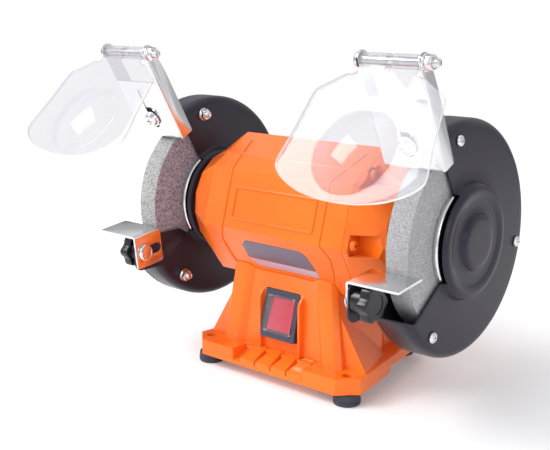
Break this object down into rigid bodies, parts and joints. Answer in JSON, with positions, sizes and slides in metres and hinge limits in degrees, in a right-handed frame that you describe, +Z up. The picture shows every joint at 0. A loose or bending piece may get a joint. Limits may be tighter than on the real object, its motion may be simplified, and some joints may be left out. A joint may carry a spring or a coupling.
{
  "type": "bench grinder",
  "caption": "Bench grinder with guarded abrasive wheels, adjustable tool rests, hinged clear eye shields and a rocker switch on a cast base.",
  "frame": {"origin": "centre of the whole object's bounding box, on the surface the feet stand on", "axes": "+X along the shaft towards the light wheel, -Y towards the user, +Z up"},
  "size_m": [0.3172, 0.2116, 0.2296],
  "materials": {
    "orange_paint": "satin orange powder coat",
    "guard_paint": "satin charcoal powder coat",
    "plain_steel": "plain machined steel",
    "winding": null,
    "foot_rubber": "matt moulded rubber",
    "black_plastic": "matt dark grey moulded plastic",
    "knob_plastic": "glossy black moulded plastic",
    "red_plastic": "glossy translucent red plastic",
    "clear_cap": "soft clear dust cap",
    "dark_abrasive": "coarse purple-grey vitrified grit",
    "light_abrasive": "fine light grey vitrified grit",
    "zinc_plate": "bright zinc plate",
    "bright_sheet": "polished bright sheet steel",
    "clear_shield": "clear moulded polycarbonate"
  },
  "bodies": {
    "stand": {"base_housing": "orange_paint", "base_plate": "plain_steel", "foot_front_left": "foot_rubber", "foot_front_right": "foot_rubber", "foot_rear_left": "foot_rubber", "foot_rear_right": "foot_rubber", "run_capacitor": "black_plastic", "switch_body": "black_plastic", "switch_dust_cap": "clear_cap", "cord_gland": "black_plastic", "motor_shell": "orange_paint", "end_bell_left": "orange_paint", "end_bell_right": "orange_paint", "tie_bolt_1": "orange_paint", "tie_bolt_2": "orange_paint", "tie_bolt_3": "orange_paint", "tie_bolt_4": "orange_paint", "stator_core": "plain_steel", "stator_winding_left": "winding", "stator_winding_right": "winding", "bearing_left": "plain_steel", "bearing_right": "plain_steel", "guard_cup_left": "guard_paint", "guard_cup_right": "guard_paint", "guard_plate_left": "guard_paint", "guard_plate_right": "guard_paint", "guard_screw_left_1": "zinc_plate", "guard_screw_left_2": "zinc_plate", "guard_screw_left_3": "zinc_plate", "guard_screw_right_1": "zinc_plate", "guard_screw_right_2": "zinc_plate", "guard_screw_right_3": "zinc_plate", "bracket_bolt_left": "zinc_plate", "bracket_bolt_right": "zinc_plate"},
    "rotor": {"shaft": "plain_steel", "rotor_core": "plain_steel", "inner_flange_left": "zinc_plate", "grinding_wheel_left": "dark_abrasive", "outer_flange_left": "zinc_plate", "arbor_nut_left": "zinc_plate", "inner_flange_right": "zinc_plate", "grinding_wheel_right": "light_abrasive", "outer_flange_right": "zinc_plate", "arbor_nut_right": "zinc_plate"},
    "rocker": {"switch_rocker": "red_plastic"},
    "bracket_left": {"shield_bracket_left": "bright_sheet", "hinge_bolt_left": "zinc_plate", "hinge_nut_left": "zinc_plate"},
    "shield_left": {"eye_shield_left": "clear_shield"},
    "rest_clamp_left": {"rest_bolt_left": "zinc_plate"},
    "rest_left": {"tool_rest_left": "bright_sheet"},
    "knob_left": {"rest_knob_left": "knob_plastic"},
    "bracket_right": {"shield_bracket_right": "bright_sheet", "hinge_bolt_right": "zinc_plate", "hinge_nut_right": "zinc_plate"},
    "shield_right": {"eye_shield_right": "clear_shield"},
    "rest_clamp_right": {"rest_bolt_right": "zinc_plate"},
    "rest_right": {"tool_rest_right": "bright_sheet"},
    "knob_right": {"rest_knob_right": "knob_plastic"}
  },
  "joints": [
    {"name": "shaft_spin", "type": "hinge", "parent": "stand", "child": "rotor", "pos_m": [0.003, 0.02986, 0.1103], "axis": [1, 0, 0], "continuous": true},
    {"name": "rocker_tip", "type": "hinge", "parent": "stand", "child": "rocker", "pos_m": [0.003, -0.00767, 0.04504], "axis": [1, 0, 0], "range_deg": [0, 14]},
    {"name": "bracket_slide_left", "type": "slide", "parent": "stand", "child": "bracket_left", "axis": [0, -0.5, 0.866], "range_m": [-0.0025, 0.0045]},
    {"name": "shield_swing_left", "type": "hinge", "parent": "bracket_left", "child": "shield_left", "pos_m": [-0.1086, -0.04405, 0.22156], "axis": [-1, 0, 0], "range_deg": [-38, 90]},
    {"name": "rest_tilt_left", "type": "hinge", "parent": "stand", "child": "rest_clamp_left", "pos_m": [-0.1086, -0.04714, 0.0815], "axis": [1, 0, 0], "range_deg": [-2, 20]},
    {"name": "rest_slide_left", "type": "slide", "parent": "rest_clamp_left", "child": "rest_left", "axis": [0, 0.9925, 0.1219], "range_m": [-0.0115, 0.0005]},
    {"name": "knob_spin_left", "type": "hinge", "parent": "rest_clamp_left", "child": "knob_left", "pos_m": [-0.1086, -0.04714, 0.0815], "axis": [1, 0, 0], "continuous": true},
    {"name": "bracket_slide_right", "type": "slide", "parent": "stand", "child": "bracket_right", "axis": [0, -0.4226, 0.9063], "range_m": [-0.0025, 0.0045]},
    {"name": "shield_swing_right", "type": "hinge", "parent": "bracket_right", "child": "shield_right", "pos_m": [0.1086, -0.03853, 0.22398], "axis": [-1, 0, 0], "range_deg": [-30, 95]},
    {"name": "rest_tilt_right", "type": "hinge", "parent": "stand", "child": "rest_clamp_right", "pos_m": [0.1086, -0.05114, 0.085], "axis": [1, 0, 0], "range_deg": [-2, 20]},
    {"name": "rest_slide_right", "type": "slide", "parent": "rest_clamp_right", "child": "rest_right", "axis": [0, 0.9925, 0.1219], "range_m": [-0.0115, 0.0005]},
    {"name": "knob_spin_right", "type": "hinge", "parent": "rest_clamp_right", "child": "knob_right", "pos_m": [0.1086, -0.05114, 0.085], "axis": [1, 0, 0], "continuous": true}
  ]
}
